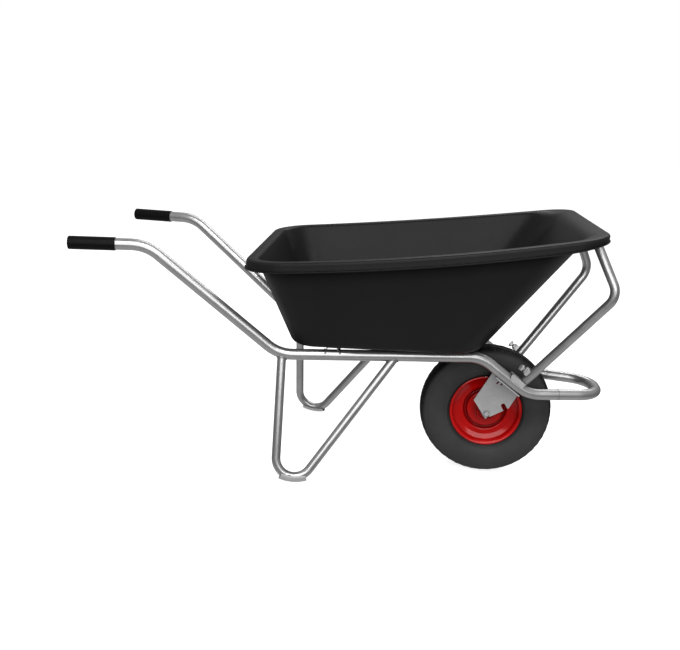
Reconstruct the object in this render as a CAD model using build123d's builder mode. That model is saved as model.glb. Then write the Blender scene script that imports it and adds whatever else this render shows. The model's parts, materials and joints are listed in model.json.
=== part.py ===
from build123d import *
from math import asin, atan, cos, degrees, radians, sin, sqrt
import os

# Single-wheel builder's wheelbarrow: galvanised tube frame, plastic tray, pneumatic wheel.
#
# +X points forward to the wheel, +Y to the left of the person pushing, +Z up.  The origin is
# on the ground, midway between the grip ends and the front of the guard loop.  Millimetres.
# Left-hand pieces are modelled on the +Y side and mirrored to the right.

os.makedirs("parts", exist_ok=True)

# --- Driving dimensions -----------------------------------------------------------------------
# Wheel and axle
WHEEL_R = 200.0
AXLE_X = 443.0
AXLE_Z = WHEEL_R
TYRE_HALF_WIDTH = 51.0
BEAD_R = 102.5
TUBE_CENTRE_R = 146.0
AXLE_R = 10.0
PLATE_INNER_Y = 55.0
PLATE_T = 4.0

# Frame tubes: radius and wall
MAIN_R, MAIN_WALL = 16.0, 2.0
LEG_R, LEG_WALL = 12.5, 2.0
HOOP_R, HOOP_WALL = 13.0, 2.0
MAIN_BEND = 110.0
SHOE_T = 3.0

# Centre-line corners of the left chassis tube, from the grip end forward
GRIP_END = Vector(-773.5, 308, 604)
HANDLE_CORNER = Vector(-567.5, 280, 620)
RAIL_REAR = Vector(-185.5, 225, 348)
RAIL_FRONT = Vector(392, 125, 391.7)
FORK_CORNER = Vector(541.5, 119, 296.5)
LOOP_WELD = Vector(633, 99.2, 302)
LOOP_FRONT_X = 760.0
LOOP_BEND = 80.0

# Leg corners: rear top, virtual foot corner, front top
LEG_REAR_TOP = Vector(-176.5, 222.5, 352)
LEG_FOOT_CORNER = Vector(-141, 331, -99.5)
LEG_FRONT_TOP = Vector(145.7, 167.3, 372.4)

# Tray-support hoop: foot, outer bend and rim corner
HOOP_FOOT = Vector(529, 118, 336)
HOOP_BEND = Vector(721, 198.6, 636.2)
HOOP_RIM_CORNER = Vector(637, 145.5, 785.3)
HOOP_BEND_R = 50.0

# Deck plane: holds both rails; the tray floor lies parallel to it
RAIL_SLOPE = (RAIL_FRONT.Z - RAIL_REAR.Z) / (RAIL_FRONT.X - RAIL_REAR.X)
DECK_Z = RAIL_REAR.Z - RAIL_SLOPE * RAIL_REAR.X
DECK_TILT = atan(RAIL_SLOPE)
CROSSBAR_TOP = MAIN_R + 8.0
CROSSBAR_X = (-36.0, 280.0)
CROSSBAR_BOLT_Y = 70.0

# Tray: the rim's top surface is an arc seen from the side, lowest near the middle
RIM_ARC = ((-340, 614.3), (150, 697.1), (700, 821.6))
RIM_DROP = 23.0
RIM_FRONT_TILT = atan(0.22)
WALL_TOP_Z, WALL_TOP_TILT = 690.0, atan(0.2)
TRAY_WALL = 5.0
TRAY_HALF_SPAN = 450.0
RIM_SCREW_Y, RIM_SCREW_R, RIM_SCREW_BITE = 60.0, 3.0, 4.5
FLOOR_TOP = CROSSBAR_TOP + TRAY_WALL
TRAY_BOLT_R, TRAY_BOLT_HEAD_R, TRAY_BOLT_HEAD_H = 4.0, 10.0, 3.0
BOLT_RECESS_R, BOLT_RECESS_DEPTH = 11.0, 3.2

# Grips
GRIP_R = 18.2
GRIP_LENGTH = 126.0
GRIP_CAP = 3.0

# Bearings (20 x 47 x 14 deep-groove)
BEARING_INNER_Y, BEARING_OUTER_Y = 28.0, 42.0
BEARING_BORE_R, BEARING_OUTER_R = 10.05, 23.5
BALL_R, BALL_PITCH_R, BALL_COUNT = 3.9, 17.0, 8
GROOVE_R = 4.0


# --- Helpers ----------------------------------------------------------------------------------
def tilted_plane(height, tilt):
    """Plane through (0, 0, height) that rises forward by the tilt angle."""
    forward = (cos(tilt), 0, sin(tilt))
    return Plane(origin=(0, 0, height), x_dir=forward, z_dir=(-sin(tilt), 0, cos(tilt)))


DECK = tilted_plane(DECK_Z, DECK_TILT)
WALL_TOP = tilted_plane(WALL_TOP_Z, WALL_TOP_TILT)
RIM_FRONT = tilted_plane(0, RIM_FRONT_TILT)
AXLE_AXIS = Axis((AXLE_X, 0, AXLE_Z), (0, 1, 0))
WHEEL_PLANE = Plane(origin=(AXLE_X, 0, AXLE_Z), x_dir=(1, 0, 0), z_dir=(0, 0, 1))


def mirrored_y(point):
    return Vector(point.X, -point.Y, point.Z)


def unit(vector):
    return vector * (1 / vector.length)


def bent_tube(points, bend, radius, wall=None):
    """Round tube along straight runs joined by tangent bends; solid when no wall is given."""
    with BuildPart() as tube:
        with BuildLine() as route:
            FilletPolyline(*points, radius=bend)
        with BuildSketch(Plane(origin=route.wire() @ 0, z_dir=route.wire() % 0)):
            Circle(radius)
            if wall:
                Circle(radius - wall, mode=Mode.SUBTRACT)
        sweep(path=route.wire())
    return tube.part


def turned(profile, mirror_too=False):
    """Solid of revolution about the axle; the profile is a list of (radius, y) corners."""
    with BuildPart() as ring:
        with BuildSketch(WHEEL_PLANE):
            with BuildLine():
                Polyline(*profile, close=True)
            make_face()
        revolve(axis=AXLE_AXIS)
        if mirror_too:
            mirror(about=Plane.XZ)
    return ring.part


def tube_ring(inner, outer, y_from, y_to):
    """Corners of a plain cylindrical ring's section."""
    return [(inner, y_from), (outer, y_from), (outer, y_to), (inner, y_to)]


def sheet_section(line, thickness):
    """Closed outline of sheet metal of even thickness whose mid-surface follows the line."""
    offset_pairs = []
    for i, point in enumerate(line):
        ends = (line[max(i - 1, 0)], line[i], line[min(i + 1, len(line) - 1)])
        runs = [Vector(b[0] - a[0], b[1] - a[1], 0) for a, b in zip(ends, ends[1:]) if a != b]
        normals = [unit(Vector(-run.Y, run.X, 0)) for run in runs]
        middle = unit(normals[0] + normals[-1])
        reach = thickness / 2 / middle.dot(normals[0])
        offset_pairs.append((point, middle * reach))
    left = [(p[0] + n.X, p[1] + n.Y) for p, n in offset_pairs]
    right = [(p[0] - n.X, p[1] - n.Y) for p, n in offset_pairs]
    return left + right[::-1]


def hexagon_radius(across_flats):
    return across_flats / sqrt(3)


def finish(part, label):
    part.label = label
    export_step(part, f"parts/{label}.step")


def finish_pair(left_part, name):
    """Write the left-hand piece and its mirror image."""
    finish(left_part, f"left_{name}")
    with BuildPart() as right:
        mirror(left_part, about=Plane.XZ)
    finish(right.part, f"right_{name}")


# --- Chassis ----------------------------------------------------------------------------------
handle_direction = unit(HANDLE_CORNER - GRIP_END)
chassis_points = [GRIP_END + handle_direction * GRIP_CAP, HANDLE_CORNER, RAIL_REAR, RAIL_FRONT]
chassis_points += [FORK_CORNER, LOOP_WELD]
chassis_tube = bent_tube(chassis_points, MAIN_BEND, MAIN_R, MAIN_WALL)
chassis_solid = bent_tube(chassis_points, MAIN_BEND, MAIN_R)
finish_pair(chassis_tube, "chassis_tube")

# Guard loop in front of the wheel, butt-welded to both chassis tubes
loop_run = unit(LOOP_WELD - FORK_CORNER)
loop_corner = LOOP_WELD + loop_run * ((LOOP_FRONT_X - LOOP_WELD.X) / loop_run.X)
loop_points = [LOOP_WELD, loop_corner, mirrored_y(loop_corner), mirrored_y(LOOP_WELD)]
front_loop = bent_tube(loop_points, LOOP_BEND, MAIN_R, MAIN_WALL)
finish(front_loop, "front_loop")


# --- Grips ------------------------------------------------------------------------------------
with BuildPart() as grip:
    with BuildSketch(Plane(origin=GRIP_END, z_dir=handle_direction)):
        Circle(GRIP_R)
    extrude(amount=GRIP_LENGTH)
    fillet(grip.faces().sort_by(Axis.X)[0].edges(), radius=4)
    fillet(grip.faces().sort_by(Axis.X)[-1].edges(), radius=1.2)
    with BuildSketch(Plane(origin=GRIP_END + handle_direction * GRIP_CAP, z_dir=handle_direction)):
        Circle(MAIN_R + 0.05)
    extrude(amount=GRIP_LENGTH, mode=Mode.SUBTRACT)
finish_pair(grip.part, "grip")


# --- Legs and shoes ---------------------------------------------------------------------------
# The leg is one tube bent to a V whose plane leans outward.  Its bend radius is worked out so
# that the shoe under the bend just reaches the ground.
rear_run = unit(LEG_REAR_TOP - LEG_FOOT_CORNER)
front_run = unit(LEG_FRONT_TOP - LEG_FOOT_CORNER)
leg_bisector = unit(rear_run + front_run)
leg_normal = unit(front_run.cross(rear_run))
leg_uphill = unit(Vector(0, 0, 1) - leg_normal * leg_normal.Z)
leg_level = leg_uphill.cross(leg_normal)
half_opening = rear_run.get_angle(front_run) / 2
bisector_reach = 1 / sin(radians(half_opening))
sole_height = LEG_R + SHOE_T
leg_bend = (sole_height - LEG_FOOT_CORNER.Z) / (leg_bisector.Z * bisector_reach - leg_uphill.Z)
leg_bend_centre = LEG_FOOT_CORNER + leg_bisector * (leg_bend * bisector_reach)
leg_bottom = leg_bend_centre - leg_uphill * leg_bend

leg_tube = bent_tube([LEG_REAR_TOP, LEG_FOOT_CORNER, LEG_FRONT_TOP], leg_bend, LEG_R, LEG_WALL)
DRAIN_R, DRAIN_ANGLE = 4.5, 12
drain_centre = leg_bend_centre - leg_uphill * (leg_bend * cos(radians(DRAIN_ANGLE)))
drain_centre -= leg_level * (leg_bend * sin(radians(DRAIN_ANGLE)))
outward = leg_normal if leg_normal.Y > 0 else -leg_normal
with BuildPart() as leg:
    add(leg_tube)
    add(chassis_solid, mode=Mode.SUBTRACT)
    with BuildSketch(Plane(origin=drain_centre, z_dir=outward)):
        Circle(DRAIN_R)
    extrude(amount=LEG_R + 1, mode=Mode.SUBTRACT)
finish_pair(leg.part, "leg")

# Shoe: pressed half-shell that cups the bend and turns down clear of it at both tips
SHOE_BEND, SHOE_ANGLE = 105.0, 19.3
SHOE_GAP = 0.3
shoe_centre = leg_bottom + leg_uphill * SHOE_BEND


def shoe_point(angle):
    turn = radians(angle)
    return shoe_centre + (leg_level * sin(turn) - leg_uphill * cos(turn)) * SHOE_BEND


with BuildPart() as foot_shoe:
    with BuildLine() as shoe_route:
        ThreePointArc(shoe_point(-SHOE_ANGLE), shoe_point(0), shoe_point(SHOE_ANGLE))
    shoe_start = Plane(origin=shoe_route.wire() @ 0, x_dir=leg_normal, z_dir=shoe_route.wire() % 0)
    upward = 1 if shoe_start.y_dir.Z > 0 else -1
    with BuildSketch(shoe_start):
        Circle(LEG_R + SHOE_T)
        Circle(LEG_R + SHOE_GAP, mode=Mode.SUBTRACT)
        with Locations((0, upward * (LEG_R + SHOE_T))):
            Rectangle(4 * LEG_R, 2 * (LEG_R + SHOE_T) - 4, mode=Mode.SUBTRACT)
    sweep(path=shoe_route.wire())
finish_pair(foot_shoe.part, "foot_shoe")


# --- Crossbars --------------------------------------------------------------------------------
# Pressed hat channels laid across both rails, their sides notched over the tubes
CROSSBAR_T = 2.5
CROSSBAR_BASE, CROSSBAR_CROWN = 21.0, 15.0
CROSSBAR_BOTTOM = 4.0
BOLT_HOLE_R = 4.25


def rail_half_width(x):
    share = (x - RAIL_REAR.X) / (RAIL_FRONT.X - RAIL_REAR.X)
    return RAIL_REAR.Y + share * (RAIL_FRONT.Y - RAIL_REAR.Y)


def crossbar(x):
    reach = rail_half_width(x) + 6
    half_crown = CROSSBAR_CROWN - CROSSBAR_T / 2
    half_base = CROSSBAR_BASE - CROSSBAR_T / 2
    crown_height = CROSSBAR_TOP - CROSSBAR_T / 2
    line = [(-half_base, CROSSBAR_BOTTOM), (-half_crown, crown_height)]
    line += [(half_crown, crown_height), (half_base, CROSSBAR_BOTTOM)]
    origin = DECK.from_local_coords((x, 0, 0))
    section_plane = Plane(origin=origin, x_dir=DECK.x_dir, z_dir=-DECK.y_dir)
    with BuildPart() as bar:
        with BuildSketch(section_plane):
            with BuildLine():
                Polyline(*sheet_section(line, CROSSBAR_T), close=True)
            make_face()
        extrude(amount=reach, both=True)
        add(chassis_solid, mode=Mode.SUBTRACT)
        mirror(chassis_solid, about=Plane.XZ, mode=Mode.SUBTRACT)
        with BuildSketch(DECK.offset(CROSSBAR_TOP)):
            with Locations((x, CROSSBAR_BOLT_Y), (x, -CROSSBAR_BOLT_Y)):
                Circle(BOLT_HOLE_R)
        extrude(amount=-2 * CROSSBAR_T, mode=Mode.SUBTRACT)
    return bar.part


finish(crossbar(CROSSBAR_X[0]), "rear_crossbar")
finish(crossbar(CROSSBAR_X[1]), "front_crossbar")


# --- Tray -------------------------------------------------------------------------------------
def tray_outline(rear, middle, front, rear_corner, front_corner, inset=0.0):
    """Plan of the tray: straight ends, slightly bowed sides, round corners.

    rear, middle and front are (x, half width) of a side; the inset shrinks the whole outline.
    """
    (x0, w0), (x1, w1), (x2, w2) = rear, middle, front
    x0, x2 = x0 + inset, x2 - inset
    w0, w1, w2 = w0 - inset, w1 - inset, w2 - inset
    with BuildSketch(mode=Mode.PRIVATE) as plan:
        with BuildLine():
            Line((x0, -w0), (x0, w0))
            ThreePointArc((x0, w0), (x1, w1), (x2, w2))
            Line((x2, w2), (x2, -w2))
            ThreePointArc((x2, -w2), (x1, -w1), (x0, -w0))
        make_face()
        fillet(plan.vertices().group_by(Axis.X)[0], radius=rear_corner - inset)
        fillet(plan.vertices().group_by(Axis.X)[-1], radius=front_corner - inset)
    return plan.sketch


# Plans as (rear point), (middle point), (front point), rear and front corner radius
FLOOR_PLAN = ((-152, 230), (120, 219), (388, 201), 66, 100)
WALL_PLAN = ((-282.5, 345), (153, 366), (631.3, 312), 100, 105)
RIM_PLAN = ((-299.7, 362.3), (150, 383.9), (658.1, 331.1), 121, 110)
FLOOR_FILLET = 54.0
RIM_ROUNDING = 9.0
LIP_T = 4.0
BEAD_HEIGHT, BEAD_DEPTH = 4.0, 3.0


def below_rim(drop):
    """Everything under the rim's sagging top surface, lowered by the drop."""
    arc_points = [(x, z - drop) for x, z in RIM_ARC]
    (x0, z0), (x1, z1) = arc_points[0], arc_points[-1]
    with BuildPart() as region:
        with BuildSketch(Plane.XZ):
            with BuildLine():
                ThreePointArc(*arc_points)
                Polyline((x0, z0), (x0, 0), (x1, 0), (x1, z1))
            make_face()
        extrude(amount=TRAY_HALF_SPAN, both=True)
    return region.part


def rim_slab(inset, top_drop, bottom_drop):
    """Slab in the plan of the rim, between two depths under its top surface."""
    with BuildPart() as slab:
        with BuildSketch(Plane.XY):
            add(tray_outline(*RIM_PLAN, inset=inset))
        extrude(amount=RIM_ARC[-1][1])
        add(below_rim(top_drop), mode=Mode.INTERSECT)
        add(below_rim(bottom_drop), mode=Mode.SUBTRACT)
    return slab.part


def tray_body(inset, lift):
    """Tapered tub from the floor up past the rim, pulled in and lifted by the wall thickness."""
    with BuildPart() as tub:
        with BuildSketch(DECK.offset(CROSSBAR_TOP + lift)):
            add(tray_outline(*FLOOR_PLAN, inset=inset))
        with BuildSketch(WALL_TOP):
            add(tray_outline(*WALL_PLAN, inset=inset))
        loft(ruled=True)
        fillet(tub.faces().sort_by(Axis.Z)[0].edges(), radius=FLOOR_FILLET - inset)
    return tub.part


bolt_spots = [(x, y) for x in CROSSBAR_X for y in (-CROSSBAR_BOLT_Y, CROSSBAR_BOLT_Y)]
screw_planes = []
for y in (-RIM_SCREW_Y, RIM_SCREW_Y):
    spot = Vector(HOOP_RIM_CORNER.X, y, HOOP_RIM_CORNER.Z)
    screw_planes.append(Plane(origin=spot, x_dir=RIM_FRONT.x_dir, z_dir=RIM_FRONT.z_dir))

with BuildPart() as tray:
    add(rim_slab(BEAD_DEPTH, 0, RIM_DROP))
    fillet(tray.faces().sort_by(Axis.Z)[-1].edges(), radius=RIM_ROUNDING)
    add(rim_slab(0, RIM_DROP - BEAD_HEIGHT, RIM_DROP))
    add(rim_slab(BEAD_DEPTH + LIP_T, TRAY_WALL, RIM_DROP + 1), mode=Mode.SUBTRACT)
    add(tray_body(0, 0))
    add(tray_body(TRAY_WALL, TRAY_WALL), mode=Mode.SUBTRACT)
    add(below_rim(0), mode=Mode.INTERSECT)
    with BuildSketch(DECK.offset(CROSSBAR_TOP - 1)):
        with Locations(*bolt_spots):
            Circle(BOLT_HOLE_R)
    extrude(amount=TRAY_WALL + 2, mode=Mode.SUBTRACT)
    with BuildSketch(DECK.offset(FLOOR_TOP - BOLT_RECESS_DEPTH)):
        with Locations(*bolt_spots):
            Circle(BOLT_RECESS_R)
    extrude(amount=BOLT_RECESS_DEPTH + 1, mode=Mode.SUBTRACT)
    for screw_plane in screw_planes:
        with BuildSketch(screw_plane):
            Circle(RIM_SCREW_R + 0.02)
        extrude(amount=HOOP_R + RIM_SCREW_BITE + 0.1, mode=Mode.SUBTRACT)
finish(tray.part, "tray")


# --- Tray bolts -------------------------------------------------------------------------------
# Low round heads sit in recesses of the floor, so that the load slides over them
WASHER_T = 1.6
NUT_TOP = CROSSBAR_TOP - CROSSBAR_T - WASHER_T


def cup_bolt(foot, shank_r, shank, head_r, head_h):
    """Round-headed bolt through the deck; the foot is where the head's underside sits."""
    section = Plane(origin=foot, x_dir=DECK.x_dir, z_dir=-DECK.y_dir)
    dome_r = (head_r ** 2 + head_h ** 2) / (2 * head_h)
    half_turn = asin(head_r / dome_r) / 2
    dome_middle = (dome_r * sin(half_turn), head_h - dome_r + dome_r * cos(half_turn))
    with BuildPart() as bolt:
        with BuildSketch(section):
            with BuildLine():
                Polyline((0, head_h), (0, -shank), (shank_r, -shank), (shank_r, 0), (head_r, 0))
                ThreePointArc((head_r, 0), dome_middle, (0, head_h))
            make_face()
        revolve(axis=Axis(foot, DECK.z_dir))
    return bolt.part


with BuildPart() as tray_bolts:
    for spot in bolt_spots:
        seat = DECK.from_local_coords((*spot, FLOOR_TOP - BOLT_RECESS_DEPTH))
        add(cup_bolt(seat, TRAY_BOLT_R, 22, TRAY_BOLT_HEAD_R, TRAY_BOLT_HEAD_H))
finish(tray_bolts.part, "tray_bolts")

with BuildPart() as tray_bolt_washers:
    with BuildSketch(DECK.offset(NUT_TOP)):
        with Locations(*bolt_spots):
            Circle(8.5)
            Circle(TRAY_BOLT_R + 0.2, mode=Mode.SUBTRACT)
    extrude(amount=WASHER_T)
finish(tray_bolt_washers.part, "tray_bolt_washers")

with BuildPart() as tray_bolt_nuts:
    with BuildSketch(DECK.offset(NUT_TOP - 6.5)):
        with Locations(*bolt_spots):
            RegularPolygon(hexagon_radius(13), 6)
            Circle(TRAY_BOLT_R + 0.02, mode=Mode.SUBTRACT)
    extrude(amount=6.5)
finish(tray_bolt_nuts.part, "tray_bolt_nuts")


# --- Tray-support hoop ------------------------------------------------------------------------
hoop_direction = unit(HOOP_BEND - HOOP_FOOT)
hoop_points = [HOOP_FOOT, HOOP_BEND, HOOP_RIM_CORNER]
hoop_points += [mirrored_y(point) for point in reversed(hoop_points)]
hoop_tube = bent_tube(hoop_points, HOOP_BEND_R, HOOP_R, HOOP_WALL)
hoop_solid = bent_tube(hoop_points, HOOP_BEND_R, HOOP_R)

# Clamp: a nut welded on the back of each hoop leg takes a set bolt that bears on a peg
CLAMP_UP = 27.0
CLAMP_R = 5.0
NUT_SIDE, NUT_FROM, NUT_TO = 19.0, HOOP_R - 0.5, HOOP_R + 11.0
rearward = unit(Vector(-1, 0, 0) + hoop_direction * hoop_direction.X)
clamp_centre = HOOP_FOOT + hoop_direction * CLAMP_UP
clamp_plane = Plane(origin=clamp_centre, x_dir=hoop_direction, z_dir=rearward)
PEG_R = HOOP_R - HOOP_WALL - 0.2
PEG_LENGTH = 75.0

with BuildPart() as clamp_hole:
    with BuildSketch(clamp_plane.offset(HOOP_R - 2 * HOOP_WALL)):
        Circle(CLAMP_R + 0.1)
    extrude(amount=3 * HOOP_WALL)

with BuildPart() as tray_hoop:
    add(hoop_tube)
    for cutter in (chassis_solid, clamp_hole.part):
        add(cutter, mode=Mode.SUBTRACT)
        mirror(cutter, about=Plane.XZ, mode=Mode.SUBTRACT)
    for screw_plane in screw_planes:
        with BuildSketch(screw_plane):
            Circle(RIM_SCREW_R + 0.15)
        extrude(amount=2 * HOOP_R, both=True, mode=Mode.SUBTRACT)
finish(tray_hoop.part, "tray_hoop")

with BuildPart() as peg:
    with BuildSketch(Plane(origin=HOOP_FOOT - hoop_direction * 14, z_dir=hoop_direction)):
        Circle(PEG_R)
    extrude(amount=PEG_LENGTH)
    add(chassis_solid, mode=Mode.SUBTRACT)
finish_pair(peg.part, "hoop_peg")

with BuildPart() as clamp_boss:
    with BuildSketch(clamp_plane.offset(NUT_FROM)):
        Rectangle(NUT_SIDE, NUT_SIDE)
    extrude(amount=NUT_TO - NUT_FROM)
    chamfer(clamp_boss.faces().sort_by(Axis((0, 0, 0), rearward))[-1].edges(), length=1)
    add(hoop_solid, mode=Mode.SUBTRACT)
    with BuildSketch(clamp_plane.offset(NUT_FROM)):
        Circle(CLAMP_R + 0.02)
    extrude(amount=NUT_TO - NUT_FROM, mode=Mode.SUBTRACT)
finish_pair(clamp_boss.part, "clamp_boss")

LOCK_NUT_H, BOLT_HEAD_FROM, BOLT_HEAD_H = 5.0, HOOP_R + 23.0, 6.4
with BuildPart() as clamp_bolt:
    with BuildSketch(clamp_plane.offset(PEG_R)):
        Circle(CLAMP_R)
    extrude(amount=BOLT_HEAD_FROM - PEG_R)
    with BuildSketch(clamp_plane.offset(BOLT_HEAD_FROM)):
        RegularPolygon(hexagon_radius(17), 6)
    extrude(amount=BOLT_HEAD_H)
finish_pair(clamp_bolt.part, "clamp_bolt")

with BuildPart() as lock_nut:
    with BuildSketch(clamp_plane.offset(NUT_TO)):
        RegularPolygon(hexagon_radius(17), 6)
        Circle(CLAMP_R + 0.02, mode=Mode.SUBTRACT)
    extrude(amount=LOCK_NUT_H)
finish_pair(lock_nut.part, "clamp_lock_nut")

# Slotted channel bracket welded on top of each chassis tube behind the hoop's foot
fork_run = unit(FORK_CORNER - RAIL_FRONT)
fork_up = unit(Vector(0, 0, 1) - fork_run * fork_run.Z)
BRACKET_X = 497.5
bracket_origin = RAIL_FRONT + fork_run * ((BRACKET_X - RAIL_FRONT.X) / fork_run.X)
bracket_plane = Plane(origin=bracket_origin, x_dir=fork_run, z_dir=fork_up)
BRACKET_LENGTH, BRACKET_WIDTH, BRACKET_TOP, BRACKET_T = 50.0, 31.0, MAIN_R + 6.0, 3.0
BRACKET_FROM = 6.0
SLOT_COUNT, SLOT_PITCH, SLOT_LENGTH, SLOT_WIDTH, SLOT_SHIFT = 4, 11.5, 7.0, 14.0, -4.0
with BuildPart() as hoop_bracket:
    with BuildSketch(bracket_plane.offset(BRACKET_FROM)):
        Rectangle(BRACKET_LENGTH, BRACKET_WIDTH)
    extrude(amount=BRACKET_TOP - BRACKET_FROM)
    fillet(hoop_bracket.edges().group_by(Axis.X)[0].sort_by(Axis.Z)[-1:], radius=9)
    with BuildSketch(bracket_plane.offset(BRACKET_FROM)):
        Rectangle(BRACKET_LENGTH + 20, BRACKET_WIDTH - 2 * BRACKET_T)
    extrude(amount=BRACKET_TOP - BRACKET_FROM - BRACKET_T, mode=Mode.SUBTRACT)
    with BuildSketch(bracket_plane.offset(BRACKET_FROM)):
        with Locations((SLOT_SHIFT, 0)):
            with GridLocations(SLOT_PITCH, 1, SLOT_COUNT, 1):
                Rectangle(SLOT_LENGTH, SLOT_WIDTH)
    extrude(amount=BRACKET_TOP, mode=Mode.SUBTRACT)
    add(chassis_solid, mode=Mode.SUBTRACT)
    with BuildSketch(Plane(origin=HOOP_FOOT - hoop_direction * 30, z_dir=hoop_direction)):
        Circle(HOOP_R + 0.3)
    extrude(amount=120, mode=Mode.SUBTRACT)
finish_pair(hoop_bracket.part, "hoop_bracket")

# Screws from below through the hoop's crossing into the tray's front rim
with BuildPart() as rim_screws:
    for screw_plane in screw_planes:
        with BuildSketch(screw_plane.offset(-HOOP_R - 0.2)):
            Circle(RIM_SCREW_R)
        extrude(amount=2 * HOOP_R + RIM_SCREW_BITE)
        with BuildSketch(screw_plane.offset(-HOOP_R - 0.2)):
            RegularPolygon(hexagon_radius(10), 6)
        extrude(amount=-4)
finish(rim_screws.part, "rim_screws")


# --- Axle plates and axle ---------------------------------------------------------------------
# L-shaped plate: an outward flange under the fork run, and a face that hangs beside the wheel
# with two open-ended axle slots.
AXLE_SLOT, SPARE_SLOT_WIDTH = 8.6, 13.0
PLATE_REAR, PLATE_TIP, PLATE_FRONT = (399, 237), (442.6, 182.3), (506.6, 225.8)
REAR_EDGE_RUN, FRONT_EDGE_RUN = (38.7, 86.3), (22.9, 52.8)
FLANGE_OUTER_Y = 129.0
FLANGE_SETBACK = 12.0
SPARE_SLOT = (489.0, 232.0)
plate_slope = (FORK_CORNER.Z - RAIL_FRONT.Z) / (FORK_CORNER.X - RAIL_FRONT.X)
fork_drop = MAIN_R * sqrt(1 + plate_slope ** 2)
fork_line_z = RAIL_FRONT.Z - plate_slope * RAIL_FRONT.X - fork_drop


def meets_flange(start, run):
    """Where a plate edge reaches the flange's top line, in (x, z)."""
    share = (plate_slope * start[0] + fork_line_z - start[1]) / (run[1] - plate_slope * run[0])
    return (start[0] + share * run[0], start[1] + share * run[1])


plate_top_rear = meets_flange(PLATE_REAR, REAR_EDGE_RUN)
plate_top_front = meets_flange(PLATE_FRONT, FRONT_EDGE_RUN)
lower_edge = unit(Vector(PLATE_FRONT[0] - PLATE_TIP[0], PLATE_FRONT[1] - PLATE_TIP[1], 0))
slot_angle = degrees(asin(lower_edge.Y))
plate_face = Plane(origin=(0, PLATE_INNER_Y, 0), x_dir=(1, 0, 0), z_dir=(0, -1, 0))
fork_angle = degrees(atan(plate_slope))
flange_front_x = plate_top_front[0] - FLANGE_SETBACK
flange_mid_x = (plate_top_rear[0] + flange_front_x) / 2
flange_mid_y = (PLATE_INNER_Y + FLANGE_OUTER_Y) / 2
flange_length = (flange_front_x - plate_top_rear[0]) / cos(radians(fork_angle))
flange_plane = Plane(
    origin=(flange_mid_x, flange_mid_y, fork_line_z + plate_slope * flange_mid_x),
    x_dir=(cos(radians(fork_angle)), 0, sin(radians(fork_angle))),
    z_dir=(-sin(radians(fork_angle)), 0, cos(radians(fork_angle))),
)
VENT_SPOTS = ((461, 301), (474, 299))
VENT_SIZE = (5.0, 10.0)

with BuildPart() as axle_plate:
    with BuildSketch(plate_face):
        with BuildLine():
            Polyline(PLATE_REAR, PLATE_TIP, PLATE_FRONT, plate_top_front, plate_top_rear, close=True)
        make_face()
        for slot_end, width in (((AXLE_X, AXLE_Z), AXLE_SLOT), (SPARE_SLOT, SPARE_SLOT_WIDTH)):
            with Locations(Location((*slot_end, 0), (0, 0, slot_angle))):
                Circle(width / 2, mode=Mode.SUBTRACT)
                Rectangle(width, 40, align=(Align.CENTER, Align.MAX), mode=Mode.SUBTRACT)
        for vent in VENT_SPOTS:
            with Locations(Location((*vent, 0), (0, 0, fork_angle))):
                Rectangle(*VENT_SIZE, mode=Mode.SUBTRACT)
    extrude(amount=-PLATE_T)
    with BuildSketch(flange_plane):
        Rectangle(flange_length, FLANGE_OUTER_Y - PLATE_INNER_Y)
    extrude(amount=-PLATE_T)
finish_pair(axle_plate.part, "axle_plate")

AXLE_BOLT_R, AXLE_BOLT_DEPTH = 3.95, 30.0
axle_bore = tube_ring(4.0, AXLE_R, PLATE_INNER_Y - AXLE_BOLT_DEPTH, PLATE_INNER_Y)
with BuildPart() as axle:
    add(turned([(0, -25), (AXLE_R, -25), (AXLE_R, 25), (0, 25)]))
    add(turned(axle_bore, mirror_too=True))
finish(axle.part, "axle")

LOCK_WASHER_T = 1.6
plate_outer = PLATE_INNER_Y + PLATE_T
head_seat = plate_outer + LOCK_WASHER_T
with BuildPart() as axle_bolt:
    add(turned(tube_ring(0, AXLE_BOLT_R, PLATE_INNER_Y - AXLE_BOLT_DEPTH + 2, head_seat)))
    with BuildSketch(Plane(origin=(AXLE_X, head_seat, AXLE_Z), x_dir=(1, 0, 0), z_dir=(0, 1, 0))):
        RegularPolygon(hexagon_radius(13), 6)
    extrude(amount=5.3)
finish_pair(axle_bolt.part, "axle_bolt")
finish_pair(turned(tube_ring(4.1, 8.0, plate_outer, head_seat)), "axle_lock_washer")


# --- Bearings ---------------------------------------------------------------------------------
bearing_mid = (BEARING_INNER_Y + BEARING_OUTER_Y) / 2
RACE_INNER_R, RACE_OUTER_R = 14.8, 19.3


def race(inner, outer):
    with BuildPart() as ring:
        add(turned(tube_ring(inner, outer, BEARING_INNER_Y, BEARING_OUTER_Y)))
        with BuildSketch(WHEEL_PLANE):
            with Locations((BALL_PITCH_R, bearing_mid)):
                Circle(GROOVE_R)
        revolve(axis=AXLE_AXIS, mode=Mode.SUBTRACT)
    return ring.part


finish_pair(race(BEARING_BORE_R, RACE_INNER_R), "bearing_inner_race")
finish_pair(race(RACE_OUTER_R, BEARING_OUTER_R), "bearing_outer_race")

ball_plane = Plane(origin=(AXLE_X, bearing_mid, AXLE_Z), x_dir=(1, 0, 0), z_dir=(0, 1, 0))
with BuildPart(ball_plane) as balls:
    with PolarLocations(BALL_PITCH_R, BALL_COUNT):
        Sphere(BALL_R)
finish_pair(balls.part, "bearing_balls")

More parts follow.
